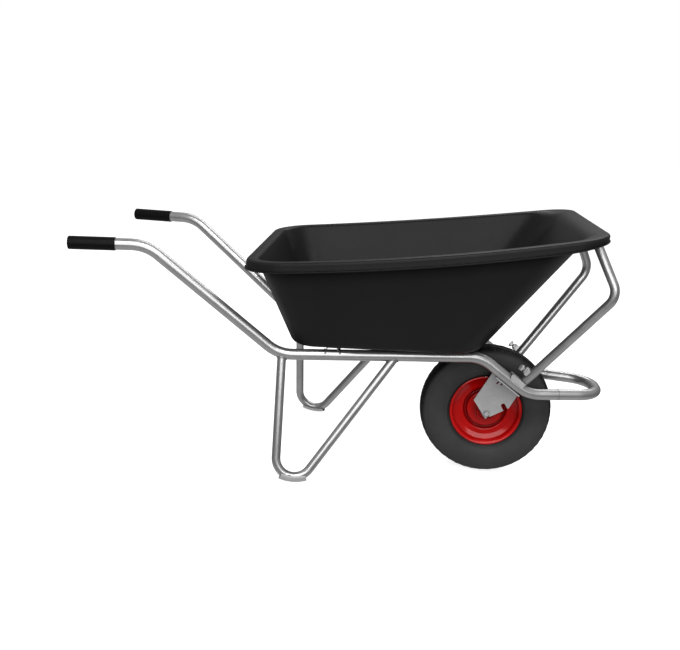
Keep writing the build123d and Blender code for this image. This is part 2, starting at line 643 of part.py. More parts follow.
CAGE_INNER_R, CAGE_OUTER_R, CAGE_HALF_WIDTH = 16.2, 17.9, 5.0
cage_sides = (bearing_mid - CAGE_HALF_WIDTH, bearing_mid + CAGE_HALF_WIDTH)
with BuildPart() as cage:
    add(turned(tube_ring(CAGE_INNER_R, CAGE_OUTER_R, *cage_sides)))
    for i in range(BALL_COUNT):
        turn = radians(i * 360 / BALL_COUNT)
        with BuildSketch(Plane(origin=ball_plane.origin, z_dir=(cos(turn), 0, sin(turn)))):
            Circle(BALL_R + 0.08)
        extrude(amount=CAGE_OUTER_R + 1, mode=Mode.SUBTRACT)
finish_pair(cage.part, "bearing_cage")

SLEEVE_R = 13.0

# Painted dust cover pressed into the mouth of the hub over each bearing
COVER_T = 1.2
cover_radii = (SLEEVE_R + 0.4, BEARING_OUTER_R)
cover_section = tube_ring(*cover_radii, BEARING_OUTER_Y, BEARING_OUTER_Y + COVER_T)
finish_pair(turned(cover_section), "bearing_cover")
with BuildPart() as sleeves:
    add(turned(tube_ring(BEARING_BORE_R, SLEEVE_R, -BEARING_INNER_Y, BEARING_INNER_Y)))
finish(sleeves.part, "axle_spacer_sleeve")
end_sleeve = turned(tube_ring(BEARING_BORE_R, SLEEVE_R, BEARING_OUTER_Y, PLATE_INNER_Y))
finish_pair(end_sleeve, "axle_end_sleeve")


# --- Wheel ------------------------------------------------------------------------------------
HUB_R, HUB_HALF = 26.0, 46.0
hub_section = [(21, 0), (HUB_R, 0), (HUB_R, HUB_HALF), (BEARING_OUTER_R, HUB_HALF)]
hub_section += [(BEARING_OUTER_R, BEARING_INNER_Y), (21, BEARING_INNER_Y)]
finish(turned(hub_section, mirror_too=True), "hub_tube")

# Each rim half: lip, bead seat, shoulder ring, welded web and the boss round the hub
RIM_T = 2.0
rim_line = [(109, 36.5), (101.2, 36.5), (98, 16), (83, 11), (68, 10), (63, 1), (58, 1), (53, 13)]
rim_line += [(HUB_R + 0.1, 13)]
rim_half = turned(sheet_section(rim_line, RIM_T))

VALVE_R, VALVE_RADIUS = 5.0, 89.0
VALVE_ANGLE = -125
wheel_face = Plane(origin=(AXLE_X, 0, AXLE_Z), x_dir=(1, 0, 0), z_dir=(0, 1, 0))
valve_plane = wheel_face.rotated((0, VALVE_ANGLE, 0))
with BuildPart() as left_rim_half:
    add(rim_half)
    with BuildSketch(valve_plane):
        with Locations((VALVE_RADIUS, 0)):
            Circle(VALVE_R + 0.1)
    extrude(amount=25, mode=Mode.SUBTRACT)
finish(left_rim_half.part, "left_rim_half")
with BuildPart() as right_rim_half:
    mirror(rim_half, about=Plane.XZ)
finish(right_rim_half.part, "right_rim_half")

VALVE_START, VALVE_END, VALVE_CAP_LENGTH = -6.0, 36.0, 10.0
VALVE_TIP_R, VALVE_NECK_R = 3.6, 4.4
INNER_TUBE_AXES = (42.9, 43.9)
tube_bottom = TUBE_CENTRE_R - INNER_TUBE_AXES[0]
with BuildPart() as valve_stem:
    with BuildSketch(valve_plane.offset(VALVE_START)):
        with Locations((VALVE_RADIUS, 0)):
            Circle(VALVE_R)
    extrude(amount=VALVE_END - VALVE_START)
    with BuildSketch(valve_plane.offset(VALVE_END)):
        with Locations((VALVE_RADIUS, 0)):
            Circle(VALVE_TIP_R)
    extrude(amount=VALVE_CAP_LENGTH - 2)
    neck_origin = valve_plane.from_local_coords((VALVE_RADIUS, 0, 0))
    with BuildSketch(Plane(origin=neck_origin, z_dir=valve_plane.x_dir)):
        Circle(VALVE_NECK_R)
    extrude(amount=tube_bottom - VALVE_RADIUS - 0.1)
finish(valve_stem.part, "valve_stem")

with BuildPart() as valve_cap:
    with BuildSketch(valve_plane.offset(VALVE_END)):
        with Locations((VALVE_RADIUS, 0)):
            Circle(VALVE_R)
    extrude(amount=VALVE_CAP_LENGTH)
    fillet(valve_cap.edges().sort_by(Axis.Y)[-1], radius=1)
    with BuildSketch(valve_plane.offset(VALVE_END)):
        with Locations((VALVE_RADIUS, 0)):
            Circle(VALVE_TIP_R)
    extrude(amount=VALVE_CAP_LENGTH - 2, mode=Mode.SUBTRACT)
finish(valve_cap.part, "valve_cap")


def ellipse_ring(radial, axial, wall=None):
    """Ring of elliptical section round the axle, inside the tyre."""
    with BuildPart() as ring:
        with BuildSketch(WHEEL_PLANE):
            with Locations((TUBE_CENTRE_R, 0)):
                Ellipse(radial, axial)
                if wall:
                    Ellipse(radial - wall, axial - wall, mode=Mode.SUBTRACT)
        revolve(axis=AXLE_AXIS)
    return ring.part


finish(ellipse_ring(*INNER_TUBE_AXES, wall=2.2), "inner_tube")

CAVITY_CLEARANCE = 0.4
BEAD_TOE, BEAD_HEEL = 24.0, 34.0
SHOULDER = (189.0, 41.0)
GROOVE_DEPTH, GROOVE_WIDTH = 4.5, 5.0
with BuildPart() as tyre:
    with BuildSketch(WHEEL_PLANE):
        with BuildLine():
            for turn in (1, -1):
                Polyline((BEAD_R, 0), (BEAD_R, turn * BEAD_HEEL), (110, turn * 35))
                ThreePointArc((110, turn * 35), (150, turn * TYRE_HALF_WIDTH), (181, turn * 46.5))
                Line((181, turn * 46.5), (SHOULDER[0], turn * SHOULDER[1]))
            ThreePointArc(SHOULDER, (WHEEL_R, 0), (SHOULDER[0], -SHOULDER[1]))
        make_face()
        with Locations(*[(WHEEL_R, y) for y in (-22, 0, 22)]):
            Rectangle(2 * GROOVE_DEPTH, GROOVE_WIDTH, mode=Mode.SUBTRACT)
        with Locations((BEAD_R, 0)):
            Rectangle(20, 2 * BEAD_TOE, mode=Mode.SUBTRACT)
    revolve(axis=AXLE_AXIS)
    add(ellipse_ring(*[axis + CAVITY_CLEARANCE for axis in INNER_TUBE_AXES]), mode=Mode.SUBTRACT)
finish(tyre.part, "tyre")
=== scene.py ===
# Looks for the wheelbarrow: materials on the CAD pieces, finer skins for the tray, rim halves and
# tyre, weld beads, softened edges, and a plain white studio.
import math

import bmesh
import bpy
import numpy as np
from mathutils import Matrix, Vector
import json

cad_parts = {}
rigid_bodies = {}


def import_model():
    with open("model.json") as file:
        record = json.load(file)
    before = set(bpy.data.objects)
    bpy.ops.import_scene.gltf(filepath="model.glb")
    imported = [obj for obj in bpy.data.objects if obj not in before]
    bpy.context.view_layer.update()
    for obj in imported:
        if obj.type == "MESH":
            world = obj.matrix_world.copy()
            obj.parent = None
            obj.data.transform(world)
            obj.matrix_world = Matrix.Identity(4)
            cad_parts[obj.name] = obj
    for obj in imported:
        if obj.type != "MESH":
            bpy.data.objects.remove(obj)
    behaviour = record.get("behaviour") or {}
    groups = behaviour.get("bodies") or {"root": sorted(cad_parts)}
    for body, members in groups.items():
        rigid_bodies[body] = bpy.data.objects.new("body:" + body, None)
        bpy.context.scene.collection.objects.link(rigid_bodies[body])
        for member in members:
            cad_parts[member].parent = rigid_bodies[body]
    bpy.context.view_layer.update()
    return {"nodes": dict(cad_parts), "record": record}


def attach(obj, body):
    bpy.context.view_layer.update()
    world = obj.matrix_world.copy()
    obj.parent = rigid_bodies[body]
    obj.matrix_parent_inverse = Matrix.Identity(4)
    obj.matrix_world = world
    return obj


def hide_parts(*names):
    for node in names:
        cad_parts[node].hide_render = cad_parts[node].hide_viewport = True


# The start-up file's own cube, camera and light aren't part of the scene.
for leftover in list(bpy.data.objects):
    bpy.data.objects.remove(leftover)

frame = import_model()
NODES = frame["nodes"]
SCENE = bpy.context.scene
MM = 0.001

# --- Sizes shared with the CAD source, in millimetres --------------------------------------------
MAIN_R, LEG_R, MAIN_BEND = 16.0, 12.5, 110.0
GRIP_END, HANDLE_CORNER = (-773.5, 308, 604), (-567.5, 280, 620)
RAIL_REAR, RAIL_FRONT = (-185.5, 225, 348), (392, 125, 391.7)
FORK_CORNER, LOOP_WELD = (541.5, 119, 296.5), (633, 99.2, 302)
LEG_REAR_TOP, LEG_FRONT_TOP = (-176.5, 222.5, 352), (145.7, 167.3, 372.4)
LEG_FOOT = (-141, 331, -99.5)
CROSSBAR_X, CROSSBAR_TOP, CROSSBAR_HALF = (-36.0, 280.0), 24.0, 19.5
CROSSBAR_BOLT_Y, BOLT_RECESS_R, BOLT_RECESS_DEPTH = 70.0, 11.0, 3.2
DECK_SLOPE = (RAIL_FRONT[2] - RAIL_REAR[2]) / (RAIL_FRONT[0] - RAIL_REAR[0])
DECK_TILT, DECK_Z = math.atan(DECK_SLOPE), RAIL_REAR[2] - DECK_SLOPE * RAIL_REAR[0]
WALL_TOP_TILT, WALL_TOP_Z = math.atan(0.2), 690.0
# Plans of the tray: (x, half width) at the rear, middle and front, then both corner radii.
FLOOR_PLAN = ((-152, 230), (120, 219), (388, 201), 66, 100)
WALL_PLAN = ((-282.5, 345), (153, 366), (631.3, 312), 100, 105)
RIM_PLAN = ((-299.7, 362.3), (150, 383.9), (658.1, 331.1), 121, 110)
RIM_ARC = ((-340, 614.3), (150, 697.1), (700, 821.6))  # (x, z) on the rim's top, seen from the side
RIM_DROP, TRAY_WALL, BEAD_DEPTH, BEAD_HEIGHT, LIP_T = 23.0, 5.0, 3.0, 4.0, 4.0
FLOOR_FILLET = 54.0
AXLE_X, AXLE_Z = 443.0, 200.0
TYRE_R = 200.0

# --- Sizes that only the looks use, in millimetres -----------------------------------------------
FLAT_MARGIN = 42.0  # width of the flat band just inside the floor's rounded edge
SKIRT_EXTRA = 5.5  # how much deeper the rim's skirt hangs at the rear and sides
FRONT_BLEND = (520, 640)  # x over which the lip changes to its broad front shape
LIP_ROLL_IN, LIP_ROLL_IN_FRONT = 9.0, 17.0  # reach of the lip's inner roll, and what the front adds
LIP_ROLL_OUT, LIP_ROLL_OUT_FRONT = 9.0, 4.5
CUTTER_CLEAR = 3.0
SHEET_HALF = 0.95  # half the thickness of a rim half's sheet
RIM_SEGMENTS, TYRE_SEGMENTS, TREAD_BLOCKS = 224, 480, 48


# --- Small geometry helpers ----------------------------------------------------------------------
def unit(vectors):
    vectors = np.asarray(vectors, float)
    return vectors / np.maximum(np.linalg.norm(vectors, axis=-1, keepdims=True), 1e-12)


def circle_through(p, q, r):
    """Centre and radius of the circle through three plane points."""
    (ax, ay), (bx, by), (cx, cy) = p, q, r
    d = 2 * (ax * (by - cy) + bx * (cy - ay) + cx * (ay - by))
    a, b, c = ax**2 + ay**2, bx**2 + by**2, cx**2 + cy**2
    ux = (a * (by - cy) + b * (cy - ay) + c * (ay - by)) / d
    uy = (a * (cx - bx) + b * (ax - cx) + c * (bx - ax)) / d
    return ux, uy, math.hypot(ax - ux, ay - uy)


def smoothstep(low, high, x):
    t = np.clip((x - low) / (high - low), 0, 1)
    return t * t * (3 - 2 * t)


def arc_between(corner, to_previous, to_next, reach, count):
    """Points of the arc that rounds a corner, tangent to both runs at the given reach."""
    u, v = unit(to_previous), unit(to_next)
    reach = np.broadcast_to(np.asarray(reach, float), corner.shape[:-1])[..., None]
    cosine = np.clip((u * v).sum(-1, keepdims=True), -0.99999, 0.99999)
    half = np.arccos(cosine) / 2
    centre = corner + unit(u + v) * reach / np.cos(half)
    start, end = corner + u * reach - centre, corner + v * reach - centre
    swing = math.pi - 2 * half
    rows = []
    for share in np.linspace(0, 1, count):
        mixed = np.sin((1 - share) * swing) * start + np.sin(share * swing) * end
        rows.append(centre + mixed / np.maximum(np.sin(swing), 1e-9))
    return rows


def rounded_path(corners, reaches, counts):
    """Rows of points along corners, each rounded by its reach; a corner may hold many points."""
    rows = [corners[0]]
    for i in range(1, len(corners) - 1):
        here = corners[i]
        if counts[i] < 2:
            rows.append(here)
            continue
        back, ahead = corners[i - 1] - here, corners[i + 1] - here
        room = 0.48 * np.minimum(np.linalg.norm(back, axis=-1), np.linalg.norm(ahead, axis=-1))
        rows += arc_between(here, back, ahead, np.minimum(reaches[i], room), counts[i])
    rows.append(corners[-1])
    return rows


def mesh_object(name, vertices, faces, body, materials, smooth_angle=40.0):
    """New mesh piece on a body, from points in millimetres."""
    mesh = bpy.data.meshes.new(name)
    points = (np.asarray(vertices, float) * MM).tolist()
    mesh.from_pydata(points, [], [list(map(int, f)) for f in faces])
    mesh.validate()
    mesh.update()
    bm = bmesh.new()
    bm.from_mesh(mesh)
    bmesh.ops.recalc_face_normals(bm, faces=bm.faces)
    for face in bm.faces:
        face.smooth = True
    limit = math.radians(smooth_angle)
    for edge in bm.edges:
        edge.smooth = len(edge.link_faces) == 2 and edge.calc_face_angle(0.0) < limit
    bm.to_mesh(mesh)
    bm.free()
    obj = bpy.data.objects.new(name, mesh)
    SCENE.collection.objects.link(obj)
    for material in materials:
        mesh.materials.append(material)
    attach(obj, body)
    return obj


def grid_faces(rows, columns, wrap_rows, wrap_columns):
    faces = []
    for i in range(rows if wrap_rows else rows - 1):
        for j in range(columns if wrap_columns else columns - 1):
            a, b = i * columns + j, i * columns + (j + 1) % columns
            c, d = ((i + 1) % rows) * columns + (j + 1) % columns, ((i + 1) % rows) * columns + j
            faces.append((a, b, c, d))
    return faces


# --- Materials -----------------------------------------------------------------------------------
def node_material(name):
    material = bpy.data.materials.new(name)
    material.use_nodes = True
    tree = material.node_tree
    shader = tree.nodes["Principled BSDF"]
    coords = tree.nodes.new("ShaderNodeTexCoord")
    return material, tree, shader, coords


def add_noise(tree, vector, scale, detail=4.0, roughness=0.55, stretch=None):
    if stretch:
        mapping = tree.nodes.new("ShaderNodeMapping")
        mapping.inputs["Scale"].default_value = stretch
        tree.links.new(vector, mapping.inputs["Vector"])
        vector = mapping.outputs["Vector"]
    noise = tree.nodes.new("ShaderNodeTexNoise")
    noise.inputs["Scale"].default_value = scale
    noise.inputs["Detail"].default_value = detail
    noise.inputs["Roughness"].default_value = roughness
    tree.links.new(vector, noise.inputs["Vector"])
    return noise.outputs["Fac"]


def add_cells(tree, vector, scale):
    cells = tree.nodes.new("ShaderNodeTexVoronoi")
    cells.inputs["Scale"].default_value = scale
    tree.links.new(vector, cells.inputs["Vector"])
    return cells.outputs["Color"]


def add_ramp(tree, value, stops):
    ramp = tree.nodes.new("ShaderNodeValToRGB")
    elements = ramp.color_ramp.elements
    while len(elements) < len(stops):
        elements.new(0.5)
    for element, (place, colour) in zip(elements, stops):
        element.position = place
        grey = (colour,) * 3 if isinstance(colour, (int, float)) else colour
        element.color = (*grey, 1.0)
    tree.links.new(value, ramp.inputs["Fac"])
    return ramp.outputs["Color"]


def add_mix(tree, factor, first, second, blend="MIX"):
    mix = tree.nodes.new("ShaderNodeMix")
    mix.data_type = "RGBA"
    mix.blend_type = blend
    if isinstance(factor, (int, float)):
        mix.inputs[0].default_value = factor
    else:
        tree.links.new(factor, mix.inputs[0])
    tree.links.new(first, mix.inputs[6])
    tree.links.new(second, mix.inputs[7])
    return mix.outputs[2]


def add_range(tree, value, low, high):
    remap = tree.nodes.new("ShaderNodeMapRange")
    remap.inputs["To Min"].default_value = low
    remap.inputs["To Max"].default_value = high
    tree.links.new(value, remap.inputs["Value"])
    return remap.outputs["Result"]


def add_bump(tree, shader, height, strength, distance):
    bump = tree.nodes.new("ShaderNodeBump")
    bump.inputs["Strength"].default_value = strength
    bump.inputs["Distance"].default_value = distance
    tree.links.new(height, bump.inputs["Height"])
    tree.links.new(bump.outputs["Normal"], shader.inputs["Normal"])


def zinc(name, dark, light, spangle, rough, cells_scale=130.0, metallic=0.85):
    """Galvanised steel: clouded zinc with a faint crystal pattern and fine grain, darkened with
    painted shade in tight corners and joints.
    """
    material, tree, shader, coords = node_material(name)
    place = coords.outputs["Object"]
    clouds = add_noise(tree, place, 22.0, 5.0)
    body = add_ramp(tree, clouds, ((0.3, dark), (0.72, light)))
    cells = add_cells(tree, place, cells_scale)
    crystals = add_ramp(tree, cells, ((0.0, 1.0 - spangle), (1.0, 1.0)))
    colour = add_mix(tree, 1.0, body, crystals, "MULTIPLY")
    # painted shade: the zinc colour darkens in tight corners and at joints
    tree.links.new(shaded_colour(tree, colour, 0.012), shader.inputs["Base Color"])
    grain = add_noise(tree, place, 240.0, 3.0)
    tree.links.new(add_range(tree, clouds, rough[0], rough[1]), shader.inputs["Roughness"])
    add_bump(tree, shader, grain, 0.12, 0.0004)
    shader.inputs["Metallic"].default_value = metallic
    return material


TREAD_HALF = 0.034  # metres from the centre plane to where the tread's painted shade ends and the sidewalls, left paler as painted sheen, begin


def rubber(name, dark, light, rough, grain_scale=900.0, strength=0.12):
    material, tree, shader, coords = node_material(name)
    place = coords.outputs["Object"]
    dust = add_noise(tree, place, 14.0, 6.0)
    # painted shade: the rubber colour darkens in recesses
    colour = shaded_colour(tree, add_ramp(tree, dust, ((0.3, dark), (0.75, light))), 0.06)
    # painted shade on the tread: its colour is darkened strongly, leaving the sidewalls paler as
    # painted sheen
    axes = tree.nodes.new("ShaderNodeSeparateXYZ")
    tree.links.new(place, axes.inputs["Vector"])
    beside = tree.nodes.new("ShaderNodeMath")
    beside.operation = "ABSOLUTE"
    tree.links.new(axes.outputs["Y"], beside.inputs[0])
    tread_shade_and_sidewall_sheen = add_ramp(tree, beside.outputs["Value"], ((TREAD_HALF, 0.16), (TREAD_HALF + 0.009, 1.0)))
    tree.links.new(add_mix(tree, 1.0, colour, tread_shade_and_sidewall_sheen, "MULTIPLY"), shader.inputs["Base Color"])
    tree.links.new(add_range(tree, dust, rough[0], rough[1]), shader.inputs["Roughness"])
    add_bump(tree, shader, add_noise(tree, place, grain_scale, 2.0), strength, 0.0004)
    shader.inputs["Specular IOR Level"].default_value = 0.12
    return material


def shaded_colour(tree, colour, reach):
    """The colour, darkened with painted shade where neighbouring surfaces close in on it."""
    return add_mix(tree, 1.0, colour, painted_shade_mask(tree, reach), "MULTIPLY")


def painted_shade_mask(tree, reach, closed=0.3, open_at=0.92):
    """Mask of painted shade: 1 on open surfaces, falling towards 0 deep in a corner or under an
    edge.
    """
    shade = tree.nodes.new("ShaderNodeAmbientOcclusion")
    shade.samples = 8
    shade.inputs["Distance"].default_value = reach
    return add_ramp(tree, shade.outputs["AO"], ((closed, 0.08), (open_at, 1.0)))


def plastic(name, dark, light, rough, ripple_scale, ripple, specular=0.5):
    """Moulded plastic: even colour with faint flow marks, fine satin grain, and painted shade that
    darkens its colour and its reflection in corners and under edges.
    """
    material, tree, shader, coords = node_material(name)
    place = coords.outputs["Object"]
    flow = add_noise(tree, place, 5.0, 4.0, stretch=(1.0, 1.0, 0.4))
    body = add_ramp(tree, flow, ((0.3, dark), (0.7, light)))
    # painted shade: the colour darkens in corners and under the rim's edge
    colour = add_mix(tree, 1.0, body, painted_shade_mask(tree, 0.08, 0.74, 1.0), "MULTIPLY")
    tree.links.new(colour, shader.inputs["Base Color"])
    wear = add_noise(tree, place, 60.0, 5.0)
    tree.links.new(add_range(tree, wear, rough[0], rough[1]), shader.inputs["Roughness"])
    add_bump(tree, shader, add_noise(tree, place, ripple_scale, 2.0), ripple, 0.0005)
    # painted shade on the reflection: specular strength drops in the same corners and under edges
    gloss = add_range(tree, painted_shade_mask(tree, 0.08, 0.74, 1.0), 0.0, specular)
    tree.links.new(gloss, shader.inputs["Specular IOR Level"])
    return material


def enamel(name):
    """Glossy red enamel with slight orange peel and uneven depth of colour, darkened with painted
    shade in its recesses.
    """
    material, tree, shader, coords = node_material(name)
    place = coords.outputs["Object"]
    depth = add_noise(tree, place, 18.0, 4.0)
    red = add_ramp(tree, depth, ((0.3, (0.35, 0.002, 0.002)), (0.7, (0.45, 0.004, 0.004))))
    # painted shade: the red darkens in the rim's recesses
    tree.links.new(shaded_colour(tree, red, 0.03), shader.inputs["Base Color"])
    tree.links.new(add_range(tree, depth, 0.09, 0.15), shader.inputs["Roughness"])
    add_bump(tree, shader, add_noise(tree, place, 160.0, 2.0), 0.05, 0.0006)
    shader.inputs["Specular IOR Level"].default_value = 0.32
    return material


TUBE_ZINC = zinc("zinc_tube", 0.36, 0.43, 0.05, (0.27, 0.35))
PLATE_ZINC = zinc("zinc_plate", 0.44, 0.52, 0.10, (0.34, 0.44), cells_scale=90.0, metallic=0.5)
WELD_ZINC = zinc("zinc_weld", 0.20, 0.38, 0.20, (0.38, 0.55), cells_scale=300.0)
STEEL = zinc("bearing_steel", 0.45, 0.55, 0.03, (0.16, 0.24), cells_scale=400.0, metallic=1.0)
TRAY_BLACK = plastic("tray_plastic", 0.0088, 0.0108, (0.34, 0.42), 700.0, 0.06, specular=0.085)
GRIP_BLACK = plastic("grip_plastic", 0.003, 0.004, (0.36, 0.44), 900.0, 0.10, specular=0.07)
RIM_RED = enamel("rim_red")
TYRE_GREY = rubber("tyre_rubber", 0.031, 0.042, (0.5, 0.65))
TUBE_RUBBER = rubber("tube_rubber", 0.012, 0.018, (0.5, 0.6))
BRASS = zinc("brass_valve", 0.5, 0.6, 0.05, (0.25, 0.35), metallic=1.0)
CAP_BLACK = plastic("cap_plastic", 0.01, 0.014, (0.4, 0.5), 900.0, 0.05, specular=0.3)
brass_ramp = next(n for n in BRASS.node_tree.nodes if n.type == "VALTORGB")
brass_ramp.color_ramp.elements[0].color = (0.42, 0.27, 0.08, 1.0)
brass_ramp.color_ramp.elements[1].color = (0.60, 0.42, 0.15, 1.0)

SLOT_MATERIALS = {
    "zinc_tube": TUBE_ZINC,
    "zinc_plate": PLATE_ZINC,
    "bearing_steel": STEEL,
    "tray_plastic": TRAY_BLACK,
    "grip_plastic": GRIP_BLACK,
    "rim_red": RIM_RED,
    "tyre_rubber": TYRE_GREY,
    "tube_rubber": TUBE_RUBBER,
    "brass_valve": BRASS,
    "cap_plastic": CAP_BLACK,
}

for subpart in frame["record"]["subparts"]:
    cad = NODES[subpart["node"]]
    cad.data.materials.clear()
    cad.data.materials.append(SLOT_MATERIALS[subpart["material_slot"]])


# --- Tray ----------------------------------------------------------------------------------------
def plan_points(rear, middle, front, rear_corner, front_corner, inset=0.0):
    """Half the tray's plan, from the middle of its rear end round to the middle of its front."""
    (x0, w0), (x1, w1), (x2, w2) = rear, middle, front
    x0, x2, w0, w1, w2 = x0 + inset, x2 - inset, w0 - inset, w1 - inset, w2 - inset
    rear_r, front_r = rear_corner - inset, front_corner - inset
    cx, cy, big = circle_through((x0, w0), (x1, w1), (x2, w2))
    points = []
    centres = []
    for corner_x, radius in ((x0 + rear_r, rear_r), (x2 - front_r, front_r)):
        centre_y = cy + math.sqrt((big - radius) ** 2 - (corner_x - cx) ** 2)
        centres.append((corner_x, centre_y, radius))
    (rx, ry, rr), (fx, fy, fr) = centres
    rear_side = math.atan2(ry - cy, rx - cx)
    front_side = math.atan2(fy - cy, fx - cx)
    for share in np.linspace(0, 1, 9)[:-1]:
        points.append((x0, ry * share))
    for turn in np.linspace(math.pi, rear_side, 19)[:-1]:
        points.append((rx + rr * math.cos(turn), ry + rr * math.sin(turn)))
    for turn in np.linspace(rear_side, front_side, 65)[:-1]:
        points.append((cx + big * math.cos(turn), cy + big * math.sin(turn)))
    for turn in np.linspace(front_side, 0, 21)[:-1]:
        points.append((fx + fr * math.cos(turn), fy + fr * math.sin(turn)))
    for share in np.linspace(1, 0, 9):
        points.append((x2, fy * share))
    return np.array(points)


def closed_loop(half):
    """The whole outline from its left half."""
    other = half[1:-1][::-1] * np.array([1, -1])
    return np.vstack([half, other])


def on_plane(points, height, tilt, offset=0.0):
    x, y = points[:, 0], points[:, 1]
    out_x = x * math.cos(tilt) - offset * math.sin(tilt)
    out_z = height + x * math.sin(tilt) + offset * math.cos(tilt)
    return np.stack([out_x, y, out_z], -1)


ARC_X, ARC_Z, ARC_R = circle_through(*RIM_ARC)


def rim_height(x):
    return ARC_Z - np.sqrt(ARC_R**2 - (x - ARC_X) ** 2)


def rim_ring(inset, drop):
    plan = closed_loop(plan_points(*RIM_PLAN, inset=inset))
    return np.stack([plan[:, 0], plan[:, 1], rim_height(plan[:, 0]) - drop], -1)


def wall_meets_rim(low, high, drop):
    """Where each wall line reaches a depth under the rim's top surface."""
    t0, t1 = np.full(len(low), 0.5), np.full(len(low), 1.2)
    for _ in range(40):
        t = (t0 + t1) / 2
        point = low + (high - low) * t[:, None]
        above = point[:, 2] > rim_height(point[:, 0]) - drop
        t1, t0 = np.where(above, t, t1), np.where(above, t0, t)
    return low + (high - low) * t0[:, None]


def inward(loop):
    """Unit normals of a plan that point into it."""
    ahead, behind = np.roll(loop, -1, 0), np.roll(loop, 1, 0)
    along = unit(ahead - behind)
    return np.stack([along[:, 1], -along[:, 0]], -1)


def fillet_reach(corner, to_previous, to_next, radius):
    half = np.arccos(np.clip((unit(to_previous) * unit(to_next)).sum(-1), -0.9999, 0.9999)) / 2
    return radius / np.tan(half)


def build_tray():
    """Thin moulded shell: floor, flared walls, rolled lip and the skirt with its bottom bead."""
    sides = []
    for inset, lift in ((TRAY_WALL, TRAY_WALL), (0.0, 0.0)):
        floor_plan = closed_loop(plan_points(*FLOOR_PLAN, inset=inset))
        normals = inward(floor_plan)
        offset = CROSSBAR_TOP + lift
        corner = on_plane(floor_plan, DECK_Z, DECK_TILT, offset)
        margin = on_plane(floor_plan + normals * FLAT_MARGIN, DECK_Z, DECK_TILT, offset)
        top = on_plane(closed_loop(plan_points(*WALL_PLAN, inset=inset)), WALL_TOP_Z, WALL_TOP_TILT)
        centre = on_plane(np.array([[120.0, 0.0]]), DECK_Z, DECK_TILT, offset)[0]
        reach = fillet_reach(corner, margin - corner, top - corner, FLOOR_FILLET - inset)
        sides.append((corner, margin, top, centre, reach))
    (in_corner, in_margin, in_top, in_centre, in_reach) = sides[0]
    (out_corner, out_margin, out_top, out_centre, out_reach) = sides[1]
    in_edge = wall_meets_rim(in_corner, in_top, 0.0)
    out_edge = wall_meets_rim(out_corner, out_top, TRAY_WALL)
    lip = rim_ring(BEAD_DEPTH, 0.0)
    toward_front = smoothstep(*FRONT_BLEND, lip[:, 0])
    roll_in = LIP_ROLL_IN + LIP_ROLL_IN_FRONT * toward_front
    roll_out = LIP_ROLL_OUT + LIP_ROLL_OUT_FRONT * toward_front
    bead_foot = RIM_DROP + SKIRT_EXTRA * (1.0 - toward_front)
    bead_top = bead_foot - BEAD_HEIGHT - 1.0
    corners = [
        in_margin,
        in_corner,
        in_edge,
        lip,
        rim_ring(BEAD_DEPTH, bead_top),
        rim_ring(0.0, bead_top + 1.2),
        rim_ring(0.0, bead_foot),
        rim_ring(BEAD_DEPTH + LIP_T, bead_foot),
        rim_ring(BEAD_DEPTH + LIP_T, TRAY_WALL),
        out_edge,
        out_corner,
        out_margin,
    ]
    reaches = [0, in_reach, roll_in, roll_out, 1.2, 1.1, 1.8, 1.2, 4.0, 4.0, out_reach, 0]
    counts = [0, 12, 9, 9, 3, 4, 5, 3, 5, 5, 12, 0]
    rows = rounded_path(corners, reaches, counts)
    inside = [in_centre + (in_margin - in_centre) * f for f in (0.06, 0.3, 0.62, 0.86)]
    outside = [out_centre + (out_margin - out_centre) * f for f in (0.86, 0.62, 0.3, 0.06)]
    rows = inside + rows + outside
    columns = len(in_corner)
    vertices = np.vstack(rows + [in_centre[None], out_centre[None]])
    faces = grid_faces(len(rows), columns, False, True)
    in_middle, out_middle = len(rows) * columns, len(rows) * columns + 1
    last = (len(rows) - 1) * columns
    for j in range(columns):
        k = (j + 1) % columns
        faces.append((in_middle, k, j))
        faces.append((out_middle, last + j, last + k))
    tray = mesh_object(
        "tray_shell", vertices, faces, "frame_and_tray", [TRAY_BLACK]
    )
    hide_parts("tray")
    return tray


TRAY = build_tray()


def cut_recesses(tray):
    """Flat-bottomed recesses in the floor for the four bolt heads."""
    bm = bmesh.new()
    for x in CROSSBAR_X:
        for y in (-CROSSBAR_BOLT_Y, CROSSBAR_BOLT_Y):
            depth = BOLT_RECESS_DEPTH + CUTTER_CLEAR
            offset = CROSSBAR_TOP + TRAY_WALL - BOLT_RECESS_DEPTH + depth / 2
            spot = on_plane(np.array([[x, y]], float), DECK_Z, DECK_TILT, offset)[0] * MM
            turn = Matrix.Translation(Vector(spot)) @ Matrix.Rotation(-DECK_TILT, 4, "Y")
            bmesh.ops.create_cone(
                bm,
                cap_ends=True,
                segments=48,
                radius1=BOLT_RECESS_R * MM,
                radius2=BOLT_RECESS_R * MM,
                depth=depth * MM,
                matrix=turn,
            )
    mesh = bpy.data.meshes.new("recess_cutter")
    bm.to_mesh(mesh)
    bm.free()
    cutter = bpy.data.objects.new("recess_cutter", mesh)
    SCENE.collection.objects.link(cutter)
    modifier = tray.modifiers.new("recesses", "BOOLEAN")
    modifier.object = cutter
    modifier.solver = "EXACT"
    depsgraph = bpy.context.evaluated_depsgraph_get()
    result = bpy.data.meshes.new_from_object(tray.evaluated_get(depsgraph))
    tray.modifiers.clear()
    tray.data = result
    bpy.data.objects.remove(cutter)


cut_recesses(TRAY)


# --- Wheel ---------------------------------------------------------------------------------------
def lathe(profile_rows, segments):
    """Vertices about the axle, one row for each (radius, y) of the profile."""
    turn = np.linspace(0, 2 * math.pi, segments, endpoint=False)
    rows = []
    for radius, y in profile_rows:
        radius, y = np.broadcast_to(radius, turn.shape), np.broadcast_to(y, turn.shape)
        x, z = AXLE_X + radius * np.sin(turn), AXLE_Z + radius * np.cos(turn)
        rows.append(np.stack([x, y, z], -1))
    return np.vstack(rows)


